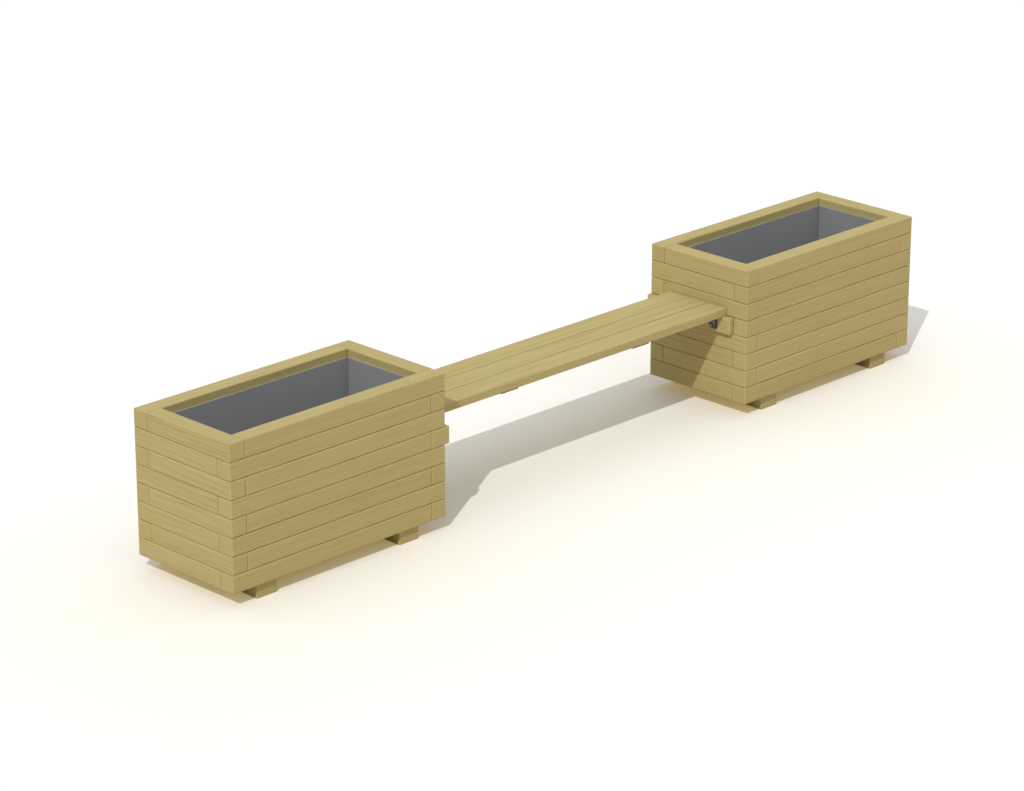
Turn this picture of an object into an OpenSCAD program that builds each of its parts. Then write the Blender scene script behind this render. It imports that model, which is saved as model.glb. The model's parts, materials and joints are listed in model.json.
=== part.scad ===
// Bench with two timber planter boxes and a plank seat between them.
// Lengths are in millimetres. X runs along the bench, Y from front to back, Z up from the ground.

/* [Planters] */
// Height and thickness of each wall timber
timber = 70; // [66:1:76]
// Length of a planter along the bench
planter_length = 1028; // [950:1:1100]
// Width of a planter from front to back
planter_width = 514; // [480:1:560]
// Rounding of the wall timbers' edges
edge_round = 5; // [3:0.5:6]

/* [Feet] */
// Height of the feet under a planter
foot_height = 58; // [45:1:70]
// Width of a foot along the bench
foot_width = 95; // [80:1:110]
// Distance from a planter's end to the foot
foot_setback = 123; // [100:1:140]
// Distance from the planter's long face to the foot's end
foot_inset = 18; // [8:1:28]

/* [Seat] */
// Clear distance between the planters
seat_span = 1657; // [1500:1:1800]
// Width of one seat board
seat_board_width = 99; // [90:1:110]
// Thickness of the seat boards
seat_board_thickness = 33; // [28:1:38]
// Gap between two seat boards
seat_board_gap = 4; // [2:0.5:6]
// Rounding of the seat boards' and battens' edges
seat_round = 3; // [2:0.5:5]
// How far the seat ledge stands out of the wall
ledge_projection = 22; // [15:1:30]

/* [Seat battens] */
// Width of a batten along the bench
batten_width = 92; // [80:1:105]
// Thickness of the battens
batten_thickness = 19; // [17:1:24]
// Distance from the batten's end to the seat's edge
batten_inset = 29; // [20:1:36]
// Distance from the planter wall to the batten's middle
batten_distance = 468; // [400:1:540]

/* [Seat brackets] */
// Width of an angle bracket
bracket_width = 38; // [34:1:50]
// Length of each bracket leg
bracket_leg = 57; // [52:1:62]
// Thickness of the bracket steel
bracket_thickness = 4; // [3:0.5:5]
// Corner radius at the end of a bracket leg
bracket_corner = 9; // [6:1:12]

/* [Liner] */
// Distance from the planter's rim down to the liner's top edge
liner_drop = 33; // [25:1:60]
// Thickness of the liner sheets
liner_thickness = 5; // [4:0.5:8]
// Thickness of the base boards
base_thickness = 22; // [18:1:27]
// Diameter of the drain holes in the liner floor
drain_diameter = 16; // [12:1:20]

/* [Fixings] */
// Diameter of the tie rods in the walls
rod_diameter = 10; // [8:1:12]
// Diameter of the coach screws in the feet
coach_diameter = 8; // [6:1:10]
// Diameter of the seat screws
screw_diameter = 5; // [4:0.5:6]

/* [Hidden] */
courses = 8;
ledge_course = 5;
seat_boards = 3;
half = 0.5;
double = 2;
arc_steps = 24;
hole_steps = 32;
timber_colour = [0.72, 0.65, 0.42];
liner_colour = [0.40, 0.41, 0.43];
bracket_colour = [0.16, 0.16, 0.17];
screw_colour = [0.75, 0.75, 0.76];

overall_length = double * planter_length + seat_span;
left_start = -overall_length * half;
right_start = seat_span * half;
wall_height = courses * timber;
rim_height = foot_height + wall_height;
inner_length = planter_length - double * timber;
inner_width = planter_width - double * timber;

seat_underside = foot_height + ledge_course * timber;
ledge_underside = seat_underside - timber;
seat_pitch = seat_board_width + seat_board_gap;
seat_width = seat_boards * seat_board_width + (seat_boards - 1) * seat_board_gap;
seat_end_gap = 2;
seat_length = seat_span - double * seat_end_gap;
seat_start = -seat_length * half;

batten_length = seat_width - double * batten_inset;
batten_x = seat_span * half - batten_distance;

rod_inset = timber * half;
rod_clearance = 1;
rod_hole = rod_diameter + rod_clearance;
insert_wall = 3;
insert_height = 30;
insert_diameter = rod_diameter + double * insert_wall;
insert_slack = 4;
insert_pocket = insert_height + insert_slack;
washer_diameter = rod_diameter * 2.2;
washer_thickness = 2;
nut_height = rod_diameter * 0.8;
nut_flats = rod_diameter * 1.7;
nut_corners = nut_flats / cos(30);
nut_sides = 6;
nut_pocket_clearance = 2;
nut_pocket_diameter = washer_diameter + nut_pocket_clearance;
rod_tail = 4;
nut_pocket_slack = 3;
nut_pocket_depth = washer_thickness + nut_height + rod_tail + nut_pocket_slack;
rod_bottom = foot_height + nut_pocket_slack;
rod_top = rim_height - timber + insert_height;
cut_past = 1;

coach_head_diameter = coach_diameter * 1.9;
coach_head_height = coach_diameter * 0.7;
coach_pocket_clearance = 2;
coach_pocket_depth = 15;
coach_hole = coach_diameter;
coach_bite = 45;
coach_row = planter_width * half - timber * half;

base_boards = 4;
base_gap = 8;
base_end_clearance = 4;
base_length = inner_length - double * base_end_clearance;
base_span = inner_width - double * base_end_clearance;
base_board_width = (base_span - (base_boards - 1) * base_gap) / base_boards;
base_top = foot_height + base_thickness;
base_screw_bite = 25;

liner_corner_gap = 3;
liner_fit = 1;
liner_top = rim_height - liner_drop;
liner_height = liner_top - base_top;
liner_side_length = inner_length - double * liner_fit;
liner_end_width = inner_width - double * (liner_thickness + liner_corner_gap);
liner_floor_length = inner_length - double * (liner_thickness + liner_fit);
liner_floor_width = inner_width - double * (liner_thickness + liner_fit);
drain_columns = 4;
drain_pitch = liner_floor_length / drain_columns;
drain_row = base_board_width + base_gap;

screw_head_diameter = screw_diameter * 1.8;
screw_head_height = screw_diameter * 0.6;
bracket_row = 103;
bracket_bite = 24;
near_hole_share = 0.53;
far_hole_share = 0.83;
bracket_hole_offset = 8;
batten_screw_bite = 20;
batten_screw_offset = batten_width * 0.25;

module rounded_rectangle(length, width, round) {
  translate([round, 0]) square([length - double * round, width]);
  translate([0, round]) square([length, width - double * round]);
  for (x = [round, length - round], y = [round, width - round]) {
    translate([x, y]) circle(r = round, $fn = arc_steps);
  }
}

module eased_board(length, width, height, round = edge_round) {
  intersection() {
    linear_extrude(height) rounded_rectangle(length, width, round);
    translate([0, width, 0]) rotate([90, 0, 0])
      linear_extrude(width) rounded_rectangle(length, height, round);
    rotate([90, 0, 90]) linear_extrude(length) rounded_rectangle(width, height, round);
  }
}

module upright_cylinder(diameter, height, steps = hole_steps) {
  cylinder(d = diameter, h = height, $fn = steps);
}

// The tie rods stand in the four corners and in the middle of each wall.
function rod_places() = [
  for (x = [rod_inset, planter_length * half, planter_length - rod_inset])
    for (y = [rod_inset, planter_width * half, planter_width - rod_inset])
      if (!(x == planter_length * half && y == planter_width * half)) [x, y - planter_width * half]
];

module at_rods(start) {
  for (place = rod_places()) {
    translate([start + place[0], place[1], 0]) children();
  }
}

module rod_cuts(start, course) {
  at_rods(start) {
    if (course == courses) {
      translate([0, 0, rim_height - timber - cut_past])
        upright_cylinder(insert_diameter, insert_pocket + cut_past);
    } else {
      translate([0, 0, foot_height - cut_past]) upright_cylinder(rod_hole, wall_height);
    }
    if (course == 1) {
      translate([0, 0, foot_height - cut_past])
        upright_cylinder(nut_pocket_diameter, nut_pocket_depth + cut_past);
    }
  }
}

function course_floor(course) = foot_height + (course - 1) * timber;
function is_even(course) = course % 2 == 0;
function foot_starts(start) = [start + foot_setback, start + planter_length - foot_setback - foot_width];

module coach_cuts(start) {
  for (x = foot_starts(start), y = [-coach_row, coach_row]) {
    translate([x + foot_width * half, y, foot_height - cut_past])
      upright_cylinder(coach_hole, coach_bite + cut_past);
  }
}

// Odd and even courses are lapped the opposite way round at each corner.
module side_boards(start, course) {
  board_length = planter_length - timber;
  front_x = is_even(course) ? start + timber : start;
  back_x = is_even(course) ? start : start + timber;
  color(timber_colour) difference() {
    union() {
      translate([front_x, -planter_width * half, course_floor(course)])
        eased_board(board_length, timber, timber);
      translate([back_x, planter_width * half - timber, course_floor(course)])
        eased_board(board_length, timber, timber);
    }
    rod_cuts(start, course);
    if (course == 1) {
      coach_cuts(start);
    }
  }
}

module left_end_board(start, course, projection = 0) {
  front_y = is_even(course) ? -planter_width * half : -planter_width * half + timber;
  color(timber_colour) difference() {
    translate([start - projection, front_y, course_floor(course)]) {
      eased_board(timber + projection, planter_width - timber, timber);
    }
    rod_cuts(start, course);
  }
}

module right_end_board(start, course, projection = 0) {
  front_y = is_even(course) ? -planter_width * half + timber : -planter_width * half;
  color(timber_colour) difference() {
    translate([start + planter_length - timber, front_y, course_floor(course)]) {
      eased_board(timber + projection, planter_width - timber, timber);
    }
    rod_cuts(start, course);
  }
}

module end_boards(start, course) {
  left_end_board(start, course);
  right_end_board(start, course);
}

// The ledge is the thicker end board that carries the seat, with pilot holes for the bracket screws.
module left_seat_ledge() {
  difference() {
    right_end_board(left_start, ledge_course, ledge_projection);
    at_brackets() bracket_pilot_holes();
  }
}

module right_seat_ledge() {
  difference() {
    left_end_board(right_start, ledge_course, ledge_projection);
    at_brackets() bracket_pilot_holes();
  }
}

module feet(start) {
  foot_length = planter_width - double * foot_inset;
  color(timber_colour) difference() {
    for (x = foot_starts(start)) {
      translate([x, -foot_length * half, 0]) eased_board(foot_width, foot_length, foot_height);
    }
    for (x = foot_starts(start), y = [-coach_row, coach_row]) {
      translate([x + foot_width * half, y, -cut_past]) {
        upright_cylinder(coach_hole, foot_height + double * cut_past);
        upright_cylinder(coach_head_diameter + coach_pocket_clearance, coach_pocket_depth + cut_past);
      }
    }
  }
}

module foot_screws() {
  color(screw_colour) for (start = [left_start, right_start], x = foot_starts(start),
    y = [-coach_row, coach_row]) {
    translate([x + foot_width * half, y, 0]) {
      translate([0, 0, coach_pocket_depth])
        upright_cylinder(coach_diameter, foot_height - coach_pocket_depth + coach_bite);
      translate([0, 0, coach_pocket_depth - coach_head_height]) {
        upright_cylinder(coach_head_diameter, coach_head_height, nut_sides);
      }
    }
  }
}

module base_boards(start) {
  color(timber_colour) for (board = [0 : base_boards - 1]) {
    translate([
      start + timber + base_end_clearance,
      -base_span * half + board * (base_board_width + base_gap),
      foot_height
    ]) cube([base_length, base_board_width, base_thickness]);
  }
}

module liner_side_panels(start) {
  color(liner_colour) for (y = [-inner_width * half, inner_width * half - liner_thickness]) {
    translate([start + timber + liner_fit, y, base_top])
      cube([liner_side_length, liner_thickness, liner_height]);
  }
}

module liner_end_panels(start) {
  color(liner_colour) for (x = [start + timber, start + planter_length - timber - liner_thickness]) {
    translate([x, -liner_end_width * half, base_top]) cube([liner_thickness, liner_end_width, liner_height]);
  }
}

module liner_floor(start) {
  color(liner_colour) difference() {
    translate([start + timber + liner_thickness + liner_fit, -liner_floor_width * half, base_top]) {
      cube([liner_floor_length, liner_floor_width, liner_thickness]);
    }
    for (column = [0 : drain_columns - 1], y = [-drain_row, 0, drain_row]) {
      translate([
        start + planter_length * half + (column - (drain_columns - 1) * half) * drain_pitch,
        y,
        base_top - cut_past
      ]) upright_cylinder(drain_diameter, liner_thickness + double * cut_past);
    }
  }
}

function seat_board_y(index) = -seat_width * half + index * seat_pitch;

module seat_board(index) {
  color(timber_colour) difference() {
    translate([seat_start, seat_board_y(index), seat_underside]) {
      eased_board(seat_length, seat_board_width, seat_board_thickness, seat_round);
    }
    at_batten_screws() {
      translate([0, 0, seat_underside - cut_past])
        upright_cylinder(screw_diameter, batten_screw_bite + cut_past);
    }
    at_brackets() bracket_pilot_holes();
  }
}

module at_batten_screws() {
  for (x = [-batten_x, batten_x], side = [-1, 1], index = [0 : seat_boards - 1]) {
    translate([x + side * batten_screw_offset, seat_board_y(index) + seat_board_width * half, 0]) children();
  }
}

module batten_screw_shape() {
  translate([0, 0, seat_underside - batten_thickness]) {
    upright_cylinder(screw_diameter, batten_thickness + batten_screw_bite);
    cylinder(d1 = screw_head_diameter, d2 = screw_diameter, h = screw_head_height, $fn = hole_steps);
  }
}

module batten_screws() {
  color(screw_colour) at_batten_screws() batten_screw_shape();
}

module seat_batten(x) {
  color(timber_colour) difference() {
    translate([x - batten_width * half, -batten_length * half, seat_underside - batten_thickness]) {
      eased_board(batten_width, batten_length, batten_thickness, seat_round);
    }
    at_batten_screws() batten_screw_shape();
  }
}

module at_brackets() {
  for (side = [0, 1], y = [-bracket_row, bracket_row]) {
    mirror([side, 0, 0]) translate([seat_span * half - ledge_projection, y, seat_underside]) children();
  }
}

module leg_outline() {
  straight = bracket_leg - bracket_corner;
  translate([0, -bracket_width * half]) square([straight, bracket_width]);
  translate([0, -bracket_width * half + bracket_corner])
    square([bracket_leg, bracket_width - double * bracket_corner]);
  for (y = [-1, 1]) {
    translate([straight, y * (bracket_width * half - bracket_corner)])
      circle(r = bracket_corner, $fn = arc_steps);
  }
}

// The two holes of a leg are staggered across its width.
module bracket_holes() {
  translate([bracket_leg * near_hole_share, -bracket_hole_offset, 0]) children();
  translate([bracket_leg * far_hole_share, bracket_hole_offset, 0]) children();
}

// Each leg is drawn flat and then turned to its place under the seat or on the ledge.
module seat_leg() {
  translate([0, 0, -bracket_thickness]) mirror([1, 0, 0]) children();
}

module ledge_leg() {
  rotate([0, 90, 0]) mirror([0, 0, 1]) children();
}

module bracket_shape() {
  difference() {
    union() {
      seat_leg() linear_extrude(bracket_thickness) leg_outline();
      ledge_leg() linear_extrude(bracket_thickness) leg_outline();
    }
    seat_leg() bracket_holes() translate([0, 0, -cut_past]) {
      upright_cylinder(screw_diameter, bracket_thickness + double * cut_past);
    }
    ledge_leg() bracket_holes() translate([0, 0, -cut_past]) {
      upright_cylinder(screw_diameter, bracket_thickness + double * cut_past);
    }
  }
}

module seat_brackets() {
  color(bracket_colour) at_brackets() bracket_shape();
}

module bracket_pilot_holes() {
  mirror([1, 0, 0]) bracket_holes() upright_cylinder(screw_diameter, bracket_bite - bracket_thickness);
  rotate([0, 90, 0]) bracket_holes() upright_cylinder(screw_diameter, bracket_bite - bracket_thickness);
}

module pan_screw() {
  translate([0, 0, -bracket_bite + bracket_thickness]) upright_cylinder(screw_diameter, bracket_bite);
  translate([0, 0, bracket_thickness]) upright_cylinder(screw_head_diameter, screw_head_height);
}

module bracket_screws() {
  color(screw_colour) at_brackets() {
    mirror([0, 0, 1]) mirror([1, 0, 0]) bracket_holes() pan_screw();
    ledge_leg() bracket_holes() pan_screw();
  }
}

module at_all_rods() {
  for (start = [left_start, right_start]) {
    at_rods(start) children();
  }
}

module tie_rods() {
  color(screw_colour) at_all_rods()
    translate([0, 0, rod_bottom]) upright_cylinder(rod_diameter, rod_top - rod_bottom);
}

module ring(outer, inner, height, steps = hole_steps) {
  difference() {
    upright_cylinder(outer, height, steps);
    translate([0, 0, -cut_past]) upright_cylinder(inner, height + double * cut_past);
  }
}

module tie_rod_inserts() {
  color(screw_colour) at_all_rods() translate([0, 0, rim_height - timber]) {
    ring(insert_diameter, rod_diameter, insert_height);
  }
}

module tie_rod_washers() {
  color(screw_colour) at_all_rods() translate([0, 0, foot_height + nut_pocket_depth - washer_thickness]) {
    ring(washer_diameter, rod_diameter, washer_thickness);
  }
}

module tie_rod_nuts() {
  color(screw_colour) at_all_rods() {
    translate([0, 0, foot_height + nut_pocket_depth - washer_thickness - nut_height]) {
      ring(nut_corners, rod_diameter, nut_height, nut_sides);
    }
  }
}

side_boards(left_start, 1);  // left_course_1_side_boards
end_boards(left_start, 1);  // left_course_1_end_boards
side_boards(left_start, 2);  // left_course_2_side_boards
end_boards(left_start, 2);  // left_course_2_end_boards
side_boards(left_start, 3);  // left_course_3_side_boards
end_boards(left_start, 3);  // left_course_3_end_boards
side_boards(left_start, 4);  // left_course_4_side_boards
end_boards(left_start, 4);  // left_course_4_end_boards
side_boards(left_start, 5);  // left_course_5_side_boards
left_end_board(left_start, 5);  // left_course_5_end_board
side_boards(left_start, 6);  // left_course_6_side_boards
end_boards(left_start, 6);  // left_course_6_end_boards
side_boards(left_start, 7);  // left_course_7_side_boards
end_boards(left_start, 7);  // left_course_7_end_boards
side_boards(left_start, 8);  // left_course_8_side_boards
end_boards(left_start, 8);  // left_course_8_end_boards
left_seat_ledge();
side_boards(right_start, 1);  // right_course_1_side_boards
end_boards(right_start, 1);  // right_course_1_end_boards
side_boards(right_start, 2);  // right_course_2_side_boards
end_boards(right_start, 2);  // right_course_2_end_boards
side_boards(right_start, 3);  // right_course_3_side_boards
end_boards(right_start, 3);  // right_course_3_end_boards
side_boards(right_start, 4);  // right_course_4_side_boards
end_boards(right_start, 4);  // right_course_4_end_boards
side_boards(right_start, 5);  // right_course_5_side_boards
right_end_board(right_start, 5);  // right_course_5_end_board
side_boards(right_start, 6);  // right_course_6_side_boards
end_boards(right_start, 6);  // right_course_6_end_boards
side_boards(right_start, 7);  // right_course_7_side_boards
end_boards(right_start, 7);  // right_course_7_end_boards
side_boards(right_start, 8);  // right_course_8_side_boards
end_boards(right_start, 8);  // right_course_8_end_boards
right_seat_ledge();
feet(left_start);  // left_feet
feet(right_start);  // right_feet
base_boards(left_start);  // left_base_boards
base_boards(right_start);  // right_base_boards
liner_side_panels(left_start);  // left_liner_side_panels
liner_end_panels(left_start);  // left_liner_end_panels
liner_floor(left_start);  // left_liner_floor
liner_side_panels(right_start);  // right_liner_side_panels
liner_end_panels(right_start);  // right_liner_end_panels
liner_floor(right_start);  // right_liner_floor
seat_board(0);  // seat_board_front
seat_board(1);  // seat_board_middle
seat_board(2);  // seat_board_back
seat_batten(-batten_x);  // seat_batten_left
seat_batten(batten_x);  // seat_batten_right
seat_brackets();
bracket_screws();
batten_screws();
tie_rods();
tie_rod_inserts();
tie_rod_washers();
tie_rod_nuts();
foot_screws();
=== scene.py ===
"""Finish, floor, light and camera for the timber bench with two planters."""

import json
import math

import bpy
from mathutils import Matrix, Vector


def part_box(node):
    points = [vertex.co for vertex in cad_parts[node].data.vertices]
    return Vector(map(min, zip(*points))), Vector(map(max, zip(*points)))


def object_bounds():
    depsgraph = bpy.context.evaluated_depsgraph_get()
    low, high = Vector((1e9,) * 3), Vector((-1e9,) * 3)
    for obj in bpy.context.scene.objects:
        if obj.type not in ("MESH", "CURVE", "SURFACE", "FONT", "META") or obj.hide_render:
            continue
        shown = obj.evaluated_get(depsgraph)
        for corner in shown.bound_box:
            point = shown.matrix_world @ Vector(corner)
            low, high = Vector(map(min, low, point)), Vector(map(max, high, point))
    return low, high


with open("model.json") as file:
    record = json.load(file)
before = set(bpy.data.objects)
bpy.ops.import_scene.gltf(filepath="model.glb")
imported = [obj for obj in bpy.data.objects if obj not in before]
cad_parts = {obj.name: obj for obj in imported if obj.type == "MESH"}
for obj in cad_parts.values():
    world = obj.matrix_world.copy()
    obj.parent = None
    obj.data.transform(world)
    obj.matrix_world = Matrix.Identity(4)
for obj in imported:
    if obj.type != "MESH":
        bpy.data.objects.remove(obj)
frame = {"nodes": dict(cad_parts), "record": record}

# Sizes taken from the frame, in metres
CAD_LOW, CAD_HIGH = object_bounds()
FOOT_LOW, FOOT_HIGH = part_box("left_feet")
SEAT_LOW, SEAT_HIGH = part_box("seat_board_middle")
RIM_LOW, RIM_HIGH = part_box("left_course_8_side_boards")
LINER_LOW, LINER_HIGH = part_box("left_liner_side_panels")

FOOT_HEIGHT = FOOT_HIGH.z - FOOT_LOW.z
TIMBER = RIM_HIGH.z - RIM_LOW.z
SEAT_BOARD = SEAT_HIGH.y - SEAT_LOW.y
SEAT_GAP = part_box("seat_board_back")[0].y - SEAT_HIGH.y
SEAT_PITCH = SEAT_BOARD + SEAT_GAP
SEAT_SPAN = 2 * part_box("right_course_8_side_boards")[0].x
PLANTER_LENGTH = RIM_HIGH.x - RIM_LOW.x
PLANTER_WIDTH = RIM_HIGH.y - RIM_LOW.y
PLANTER_CENTRE = -(RIM_HIGH.x + RIM_LOW.x) / 2
COURSES = round((RIM_HIGH.z - FOOT_HIGH.z) / TIMBER)

# Camera, at the photograph's place
IMAGE_WIDTH = 1024
FOCAL_PIXELS = 3501.9
SENSOR_WIDTH = 36.0
CAMERA_PLACE = Vector((-9.101, -8.824, 4.894))
CAMERA_YAW = math.radians(45.1635)
CAMERA_PITCH = math.radians(20.132)
CAMERA_CLIP_END = 200

# Sun and sky
SUN_TRAVEL = Vector((0.888, 0.507, -1.0))
SUN_STRENGTH = 1.62
SUN_SPREAD = math.radians(0.6)
ZENITH_STRENGTH = 1.04
WHITE = (1.0, 1.0, 1.0, 1.0)
BLACK = (0.0, 0.0, 0.0, 1.0)

# Floor: white far from the bench, with painted warm bounce light near it, and softer in the light
# that it throws back
FLOOR_REACH = 60.0
FLOOR_WHITE = (0.985, 0.985, 0.98, 1.0)
FLOOR_PAINTED_BOUNCE = (1.0, 0.968, 0.89, 1.0)
FLOOR_BOUNCE = (0.77, 0.705, 0.63, 1.0)
PAINTED_BOUNCE_CENTRE = (-0.30, -0.25)
PAINTED_BOUNCE_REACH = 1.3

# Painted bounce light on the floor under the planters, which the camera alone sees, by the
# distance in from their walls
PAINTED_BOUNCE_GLOW = (0.24, 0.18, 0.072, 1.0)
GLOW_START = -0.04
GLOW_FULL = 0.08


def linear(red, green, blue):
    """A colour written as 0 to 255 screen values, as Blender's own linear values."""

    def channel(value):
        share = value / 255
        return share / 12.92 if share <= 0.04045 else ((share + 0.055) / 1.055) ** 2.4

    return channel(red), channel(green), channel(blue), 1.0


class Field:
    """A socket that takes part in Python arithmetic. Each operation adds its own node."""

    def __init__(self, graph, socket):
        self.graph = graph
        self.socket = socket
        self.is_vector = socket.type in {"VECTOR", "RGBA"}

    def combine(self, operation, *values):
        is_vector = any(isinstance(value, Field) and value.is_vector for value in values)
        kind = "ShaderNodeVectorMath" if is_vector else "ShaderNodeMath"
        if is_vector:
            values = [
                value if isinstance(value, (Field, tuple)) else (value,) * 3 for value in values
            ]
        node = self.graph.node(kind, dict(enumerate(values)), operation=operation)
        return Field(self.graph, node.outputs[0])

    def __add__(self, other):
        return self.combine("ADD", self, other)

    def __radd__(self, other):
        return self.combine("ADD", other, self)

    def __sub__(self, other):
        return self.combine("SUBTRACT", self, other)

    def __rsub__(self, other):
        return self.combine("SUBTRACT", other, self)

    def __mul__(self, other):
        return self.combine("MULTIPLY", self, other)

    def __rmul__(self, other):
        return self.combine("MULTIPLY", other, self)

    def __truediv__(self, other):
        return self.combine("DIVIDE", self, other)

    def __rtruediv__(self, other):
        return self.combine("DIVIDE", other, self)

    def __pow__(self, other):
        return self.combine("POWER", self, other)

    def __abs__(self):
        return self.combine("ABSOLUTE", self)

    def floor(self):
        return self.combine("FLOOR", self)

    def sign(self):
        return self.combine("SIGN", self)

    def sine(self):
        return self.combine("SINE", self)

    def least(self, other):
        return self.combine("MINIMUM", self, other)

    def most(self, other):
        return self.combine("MAXIMUM", self, other)


class Graph:
    """A node tree, with a method that adds any node."""

    def __init__(self, tree):
        self.tree = tree

    def node(self, kind, values=None, **settings):
        made = self.tree.nodes.new(kind)
        for name, value in settings.items():
            setattr(made, name, value)
        for name, value in (values or {}).items():
            self.feed(made.inputs[name], value)
        return made

    def feed(self, socket, value):
        if isinstance(value, Field):
            self.tree.links.new(value.socket, socket)
        else:
            socket.default_value = value

    def field(self, kind, output, values=None, **settings):
        return Field(self, self.node(kind, values, **settings).outputs[output])

    def vector(self, x, y, z):
        return self.field("ShaderNodeCombineXYZ", 0, {0: x, 1: y, 2: z})

    def split(self, vector):
        """The three numbers of a vector or a colour, as fields."""
        node = self.node("ShaderNodeSeparateXYZ", {0: vector})
        return [Field(self, output) for output in node.outputs]

    def place(self):
        """The point on the surface, in metres in the part's own frame, as x, y and z fields."""
        return self.split(self.field("ShaderNodeTexCoord", "Object"))

    def noise(self, point, detail):
        """Soft noise from 0 to 1, with one wave or so to each unit of the point."""
        values = {"Vector": point, "Scale": 1.0, "Detail": detail, "Roughness": 0.5}
        return self.field("ShaderNodeTexNoise", "Fac", values)

    def random(self, point):
        """Three random shares from 0 to 1 that stay the same all over one cell."""
        values = {"Vector": point}
        return self.split(
            self.field("ShaderNodeTexWhiteNoise", "Color", values, noise_dimensions="3D")
        )

    def blend(self, share, first, second):
        """The first colour where the share is 0, and the second where it is 1."""
        # The Mix node repeats its socket names for each data type, so these go by number
        node = self.node("ShaderNodeMix", {0: share, 6: first, 7: second}, data_type="RGBA")
        return Field(self, node.outputs[2])

    def smooth(self, value, start, end):
        """0 below start and 1 above end, with a soft change between."""
        values = {"Value": value, "From Min": start, "From Max": end}
        return self.field("ShaderNodeMapRange", "Result", values, interpolation_type="SMOOTHSTEP")

    def seen_rays(self):
        """1 for what the camera sees, mirrors and glass included, and 0 for light on its way."""
        rays = self.node("ShaderNodeLightPath").outputs
        kinds = ("Camera", "Glossy", "Transmission")
        camera, glossy, clear = [Field(self, rays[f"Is {kind} Ray"]) for kind in kinds]
        return camera.most(glossy).most(clear)


class Finish(Graph):
    """The node tree of one material."""

    def __init__(self, name):
        self.material = bpy.data.materials.new(name)
        self.material.use_nodes = True
        super().__init__(self.material.node_tree)
        self.shader = self.tree.nodes["Principled BSDF"]

    def bump(self, height, strength, distance):
        values = {"Height": height, "Strength": strength, "Distance": distance}
        self.feed(self.shader.inputs["Normal"], self.field("ShaderNodeBump", "Normal", values))

    def set(self, **values):
        for name, value in values.items():
            self.feed(self.shader.inputs[name.replace("_", " ")], value)


# The axes along which the boards' grain runs
LENGTHWISE = 0
CROSSWISE = 1

# Timber colours, as they look in full light
WOOD_PALE = linear(192, 177, 123)
WOOD_MEAN = linear(184, 168, 113)
WOOD_DEEP = linear(166, 148, 91)
WOOD_GREEN = linear(178, 172, 109)
WOOD_WARM = linear(186, 162, 111)

# Growth rings
RING_PITCH = 0.0065
PITH_REACH = 0.16
WAVER_DEPTH = 0.020

# Waves of the grain in a metre, along and across the board
WAVER = (1.3, 9)
STREAKS = (3.0, 185.0)
FIBRES = (9.0, 420.0)
PATCHES = (5.0, 16.0)

# How far apart the grain of two boards is drawn from the same noise
SLIDE_BY_TONE = 37
SLIDE_BY_SHIFT = 11
PATCH_SHIFT = (31.7, 4.1, 9.3)

# How much streaks, rings, fibres and the board's own tone deepen its colour
STREAK_DEPTH = 1.2
RING_DEPTH = 0.26
FIBRE_DEPTH = 0.95
BOARD_DEPTH = 0.22
MEAN_DEPTH = 0.45

# Where one colour starts and ends its change to the next
PALE_TO_MEAN = (0.0, 0.55)
MEAN_TO_DEEP = (0.5, 1.05)
GREEN_PATCHES = (0.54, 0.74)
WARM_PATCHES = (0.56, 0.76)
PATCH_STRENGTH = 0.32

# How much the fibres and the rings stand up in the surface
FIBRE_RELIEF = 0.6
RING_RELIEF = 0.4

# Cells that part one crosswise board from the next along the bench
CROSS_CELL = 0.35
CROSS_CELL_START = 0.225


def lengthwise_cell(x, y, z):
    """Whole numbers that differ from one lengthwise board to the next."""
    return (
        ((x + SEAT_SPAN / 2) / SEAT_SPAN).floor(),
        (y / SEAT_PITCH + 0.5).floor(),
        ((z - FOOT_HEIGHT) / TIMBER).floor(),
    )


def crosswise_cell(x, y, z):
    """Whole numbers that differ from one crosswise board to the next."""
    return (
        ((abs(x) - CROSS_CELL_START) / CROSS_CELL).floor(),
        x.sign(),
        ((z - FOOT_HEIGHT) / TIMBER).floor(),
    )


# Painted shade, and dirt, in the joints between the wall timbers, by the distance from them
END_JOINT = PLANTER_LENGTH / 2 - TIMBER
SIDE_JOINT = PLANTER_WIDTH / 2 - TIMBER
JOINT_TINT = (0.82, 0.75, 0.58)
JOINT_HALF_WIDTH = 0.0035
JOINT_RISE = 0.001
UPRIGHT_NARROWING = 1.7
WALL_SLACK = 0.001

# Painted highlight on the rounded upper edge of each wall timber, where it catches more of the
# sky: depths below the joint
EDGE_HIGHLIGHT_TINT = (1.08, 1.085, 1.10)
EDGE_TOP = 0.0015
EDGE_MIDDLE = 0.0045
EDGE_BOTTOM = 0.0085

# Painted shade on the battens under the seat, which fades out between two distances from the
# planters
BATTEN_SHADE_TINT = (0.42, 0.39, 0.31)
SHADE_MARGINS = (0.09, 0.045)
BATTEN_SHADE_END = [SEAT_SPAN / 2 - margin for margin in SHADE_MARGINS]


def below_joint(z):
    """How far a point lies below the nearest joint between two courses, in metres.

    The rim and the walls' bottom edge are no joints, so the lowest and highest joint count there.
    """
    course = (z - FOOT_HEIGHT) / TIMBER
    level = (course + 0.5).floor().most(1.0).least(COURSES - 1.0)
    return (level - course) * TIMBER


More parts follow.
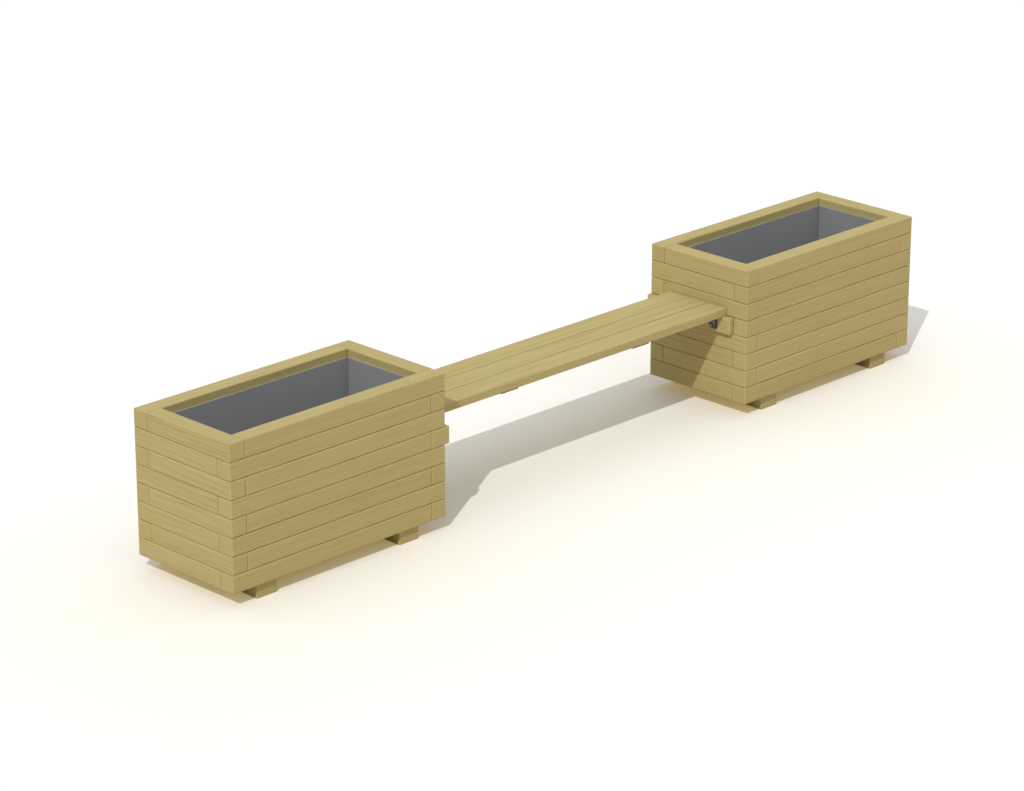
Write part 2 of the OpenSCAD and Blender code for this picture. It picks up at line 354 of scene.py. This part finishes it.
def joint_distance(x, y, z):
    """How far a point of a planter wall lies from the nearest joint of its timbers, in metres."""
    course = (z - FOOT_HEIGHT) / TIMBER
    between_courses = abs(below_joint(z) + JOINT_RISE)

    # Odd and even courses are lapped the opposite way round at each corner: turn is 1 or -1
    along = x - x.sign() * PLANTER_CENTRE
    half = course.floor().least(COURSES - 1.0) * 0.5
    turn = (half - half.floor()) * 4 - 1
    lap = along.sign() * y.sign() * turn * 0.5 + 0.5
    at_end = abs(abs(along) - END_JOINT).most(SIDE_JOINT - abs(y))
    at_side = abs(abs(y) - SIDE_JOINT).most(END_JOINT - abs(along))
    upright = (lap * at_end + (1 - lap) * at_side) * UPRIGHT_NARROWING

    # What stands out of the wall, such as the seat, has none of the wall's joints
    out_of_wall = abs(along) - PLANTER_LENGTH / 2 - WALL_SLACK
    return between_courses.least(upright).most(out_of_wall)


def timber(name, along, across, cell):
    """Planed softwood with straight grain. Along and across are the numbers of two axes."""
    graph = Finish(name)
    place = graph.place()
    tone, shift_a, shift_b = graph.random(graph.vector(*cell(*place)))
    run = place[along] + (tone * SLIDE_BY_TONE + shift_a * SLIDE_BY_SHIFT)
    wide = place[across]
    high = place[2]

    def grain(waves, detail, shift=None):
        """Noise that is drawn out along the board."""
        waves_along, waves_across = waves
        point = graph.vector(run * waves_along, wide * waves_across, high * waves_across)
        return graph.noise(point + shift if shift else point, detail)

    # Growth rings round a pith that lies outside most boards
    off_wide = wide + (shift_a - 0.5) * PITH_REACH * 2
    off_high = high + (shift_b - 0.5) * PITH_REACH * 2 + tone * PITH_REACH
    waver = (grain(WAVER, detail=2.0) - 0.5) * WAVER_DEPTH
    radius = (off_wide * off_wide + off_high * off_high) ** 0.5 + waver
    ring = (radius * (2 * math.pi / RING_PITCH)).sine() * 0.5 + 0.5

    streak = grain(STREAKS, detail=3.0)
    fibre = grain(FIBRES, detail=2.0)
    depth = (
        (streak - 0.5) * STREAK_DEPTH
        + (ring - 0.5) * RING_DEPTH
        + (fibre - 0.5) * FIBRE_DEPTH
        + (tone - 0.5) * BOARD_DEPTH
        + MEAN_DEPTH
    )
    colour = graph.blend(graph.smooth(depth, *PALE_TO_MEAN), WOOD_PALE, WOOD_MEAN)
    colour = graph.blend(graph.smooth(depth, *MEAN_TO_DEEP), colour, WOOD_DEEP)
    green = graph.smooth(grain(PATCHES, detail=1.0), *GREEN_PATCHES)
    colour = graph.blend(green * PATCH_STRENGTH, colour, WOOD_GREEN)
    warm = graph.smooth(grain(PATCHES, detail=1.0, shift=PATCH_SHIFT), *WARM_PATCHES)
    colour = graph.blend(warm * PATCH_STRENGTH, colour, WOOD_WARM)

    # Painted shade and dirt in the joints, and a painted highlight on the edge below each joint
    # between courses
    clear = graph.smooth(joint_distance(*place), 0.0, JOINT_HALF_WIDTH)
    colour = graph.blend(clear, colour * JOINT_TINT, colour)
    below = below_joint(high)
    past_edge = graph.smooth(below, EDGE_MIDDLE, EDGE_BOTTOM)
    lit = graph.smooth(below, EDGE_TOP, EDGE_MIDDLE) * (1 - past_edge)
    colour = graph.blend(lit, colour, colour * EDGE_HIGHLIGHT_TINT)

    # Painted shade on the battens, the only crosswise timbers between the ledges
    if along == CROSSWISE:
        past_battens = graph.smooth(abs(place[0]), *BATTEN_SHADE_END)
        colour = graph.blend(past_battens, colour * BATTEN_SHADE_TINT, colour)

    graph.set(Base_Color=colour, Roughness=0.72, Specular_IOR_Level=0.25)
    graph.bump(fibre * FIBRE_RELIEF + ring * RING_RELIEF, strength=0.12, distance=0.001)
    return graph.material


LINER_RIM = linear(156, 156, 151)
LINER_UPPER = linear(145, 146, 148)
LINER_LOWER = linear(130, 131, 133)
LINER_LIP = 0.0015
LINER_WAVES = (6, 3)
LINER_WAVE_HEIGHT = 0.08
LINER_GRAIN = 40


def liner_sheet():
    """Grey plastic sheet, darker towards the bottom of the box and paler along its top edge."""
    graph = Finish("liner sheet")
    x, y, z = graph.place()
    level, upright = LINER_WAVES
    wave = graph.noise(graph.vector(x * level, y * level, z * upright), detail=2.0) - 0.5
    rise = graph.smooth(z + wave * LINER_WAVE_HEIGHT, LINER_LOW.z, LINER_HIGH.z)
    colour = graph.blend(rise, LINER_LOWER, LINER_UPPER)
    rim = graph.smooth(z, LINER_HIGH.z - LINER_LIP, LINER_HIGH.z)
    colour = graph.blend(rim, colour, LINER_RIM)
    graph.set(Base_Color=colour, Roughness=0.6, Specular_IOR_Level=0.3)
    point = graph.vector(x * LINER_GRAIN, y * LINER_GRAIN, z * LINER_GRAIN)
    graph.bump(graph.noise(point, detail=3.0), strength=0.08, distance=0.001)
    return graph.material


BRACKET_BLACK = linear(52, 51, 54)
BRACKET_WORN = linear(78, 77, 80)
BRACKET_SPECKS = 350
BRACKET_WEAR = (0.5, 0.8)


def bracket_steel():
    """Dark powder-coated steel."""
    graph = Finish("bracket steel")
    x, y, z = graph.place()
    point = graph.vector(x * BRACKET_SPECKS, y * BRACKET_SPECKS, z * BRACKET_SPECKS)
    speck = graph.noise(point, detail=2.0)
    colour = graph.blend(graph.smooth(speck, *BRACKET_WEAR), BRACKET_BLACK, BRACKET_WORN)
    graph.set(Base_Color=colour, Metallic=0.0, Roughness=0.42)
    graph.bump(speck, strength=0.10, distance=0.0005)
    return graph.material


ZINC = linear(196, 197, 200)


def zinc_fixings():
    """Bright zinc-plated rods, nuts and screws."""
    graph = Finish("zinc fixings")
    graph.set(Base_Color=ZINC, Metallic=1.0, Roughness=0.34)
    return graph.material


# Painted shade: the screws sit in shade under the seat, so their steel is darkened
SCREW_SHADE_GREY = linear(140, 139, 141)


def dull_screws():
    """Plain steel screws, darkened grey as painted shade for where they sit."""
    graph = Finish("dull screws")
    graph.set(Base_Color=SCREW_SHADE_GREY, Metallic=1.0, Roughness=0.5)
    return graph.material


FINISHES = {
    "timber_lengthwise": timber("timber along the bench", LENGTHWISE, CROSSWISE, lengthwise_cell),
    "timber_crosswise": timber("timber across the bench", CROSSWISE, LENGTHWISE, crosswise_cell),
    "liner_sheet": liner_sheet(),
    "bracket_steel": bracket_steel(),
    "zinc_fixings": zinc_fixings(),
    "dull_screws": dull_screws(),
}


def dress_nodes():
    """Gives each CAD node the finish of its material slot."""
    for entry in frame["record"]["subparts"]:
        node = frame["nodes"][entry["node"]]
        node.data.materials.clear()
        node.data.materials.append(FINISHES[entry["material_slot"]])


def lay_floor():
    """A pale floor. The camera sees it white, with painted warm bounce light and a painted glow
    near the planters, and it throws a softer light back on the timber.
    """
    mesh = bpy.data.meshes.new("floor")
    corners = [(-1, -1), (1, -1), (1, 1), (-1, 1)]
    points = [(x * FLOOR_REACH, y * FLOOR_REACH, 0) for x, y in corners]
    mesh.from_pydata(points, [], [(0, 1, 2, 3)])
    floor = bpy.data.objects.new("floor", mesh)
    bpy.context.collection.objects.link(floor)

    finish = Finish("floor")
    x, y, _ = finish.place()
    seen = finish.seen_rays()

    # Distance outside a box as large as the bench, round the middle of the painted warm bounce
    # light
    past_end = (abs(x - PAINTED_BOUNCE_CENTRE[0]) - CAD_HIGH.x).most(0.0)
    past_side = (abs(y - PAINTED_BOUNCE_CENTRE[1]) - CAD_HIGH.y).most(0.0)
    away = (past_end * past_end + past_side * past_side) ** 0.5 / PAINTED_BOUNCE_REACH
    # Painted warm bounce light near the bench, which the camera alone sees, fading to white
    # further out
    pale = finish.blend(away.least(1.0), FLOOR_PAINTED_BOUNCE, FLOOR_WHITE)
    colour = finish.blend(seen, FLOOR_BOUNCE, pale)
    finish.set(Base_Color=colour, Roughness=1.0, Specular_IOR_Level=0.0)

    # Painted bounce light: an emission seen by the camera, for light thrown to and fro between
    # the floor and the timber over it
    along = abs(x - x.sign() * PLANTER_CENTRE)
    under_end = finish.smooth(PLANTER_LENGTH / 2 - along, GLOW_START, GLOW_FULL)
    under_side = finish.smooth(PLANTER_WIDTH / 2 - abs(y), GLOW_START, GLOW_FULL)
    glow = finish.blend(under_end * under_side * seen, BLACK, PAINTED_BOUNCE_GLOW)
    finish.set(Emission_Color=glow, Emission_Strength=1.0)
    mesh.materials.append(finish.material)


def light_scene():
    """One sun, where the photograph's shadows put it, and a sky that is brightest overhead."""
    sun = bpy.data.lights.new("sun", "SUN")
    sun.energy = SUN_STRENGTH
    sun.angle = SUN_SPREAD
    lamp = bpy.data.objects.new("sun", sun)
    lamp.rotation_euler = SUN_TRAVEL.to_track_quat("-Z", "Y").to_euler()
    bpy.context.collection.objects.link(lamp)

    world = bpy.data.worlds.new("sky")
    world.use_nodes = True
    graph = Graph(world.node_tree)
    background = world.node_tree.nodes["Background"]
    height = graph.split(graph.field("ShaderNodeTexCoord", "Generated"))[2].most(0.0)
    seen = graph.seen_rays()
    graph.feed(background.inputs["Strength"], seen + (1 - seen) * height * ZENITH_STRENGTH)
    background.inputs["Color"].default_value = WHITE
    bpy.context.scene.world = world


def place_camera():
    """The photograph's camera, solved from the timber edges."""
    camera = bpy.data.cameras.new("camera")
    camera.sensor_fit = "HORIZONTAL"
    camera.sensor_width = SENSOR_WIDTH
    camera.lens = FOCAL_PIXELS / IMAGE_WIDTH * SENSOR_WIDTH
    camera.clip_end = CAMERA_CLIP_END
    holder = bpy.data.objects.new("camera", camera)
    holder.location = CAMERA_PLACE
    forward = Vector((
        math.sin(CAMERA_YAW) * math.cos(CAMERA_PITCH),
        math.cos(CAMERA_YAW) * math.cos(CAMERA_PITCH),
        -math.sin(CAMERA_PITCH),
    ))
    holder.rotation_euler = forward.to_track_quat("-Z", "Y").to_euler()
    bpy.context.collection.objects.link(holder)
    bpy.context.scene.camera = holder


dress_nodes()
lay_floor()
light_scene()
place_camera()
bpy.context.scene.view_settings.view_transform = "Standard"
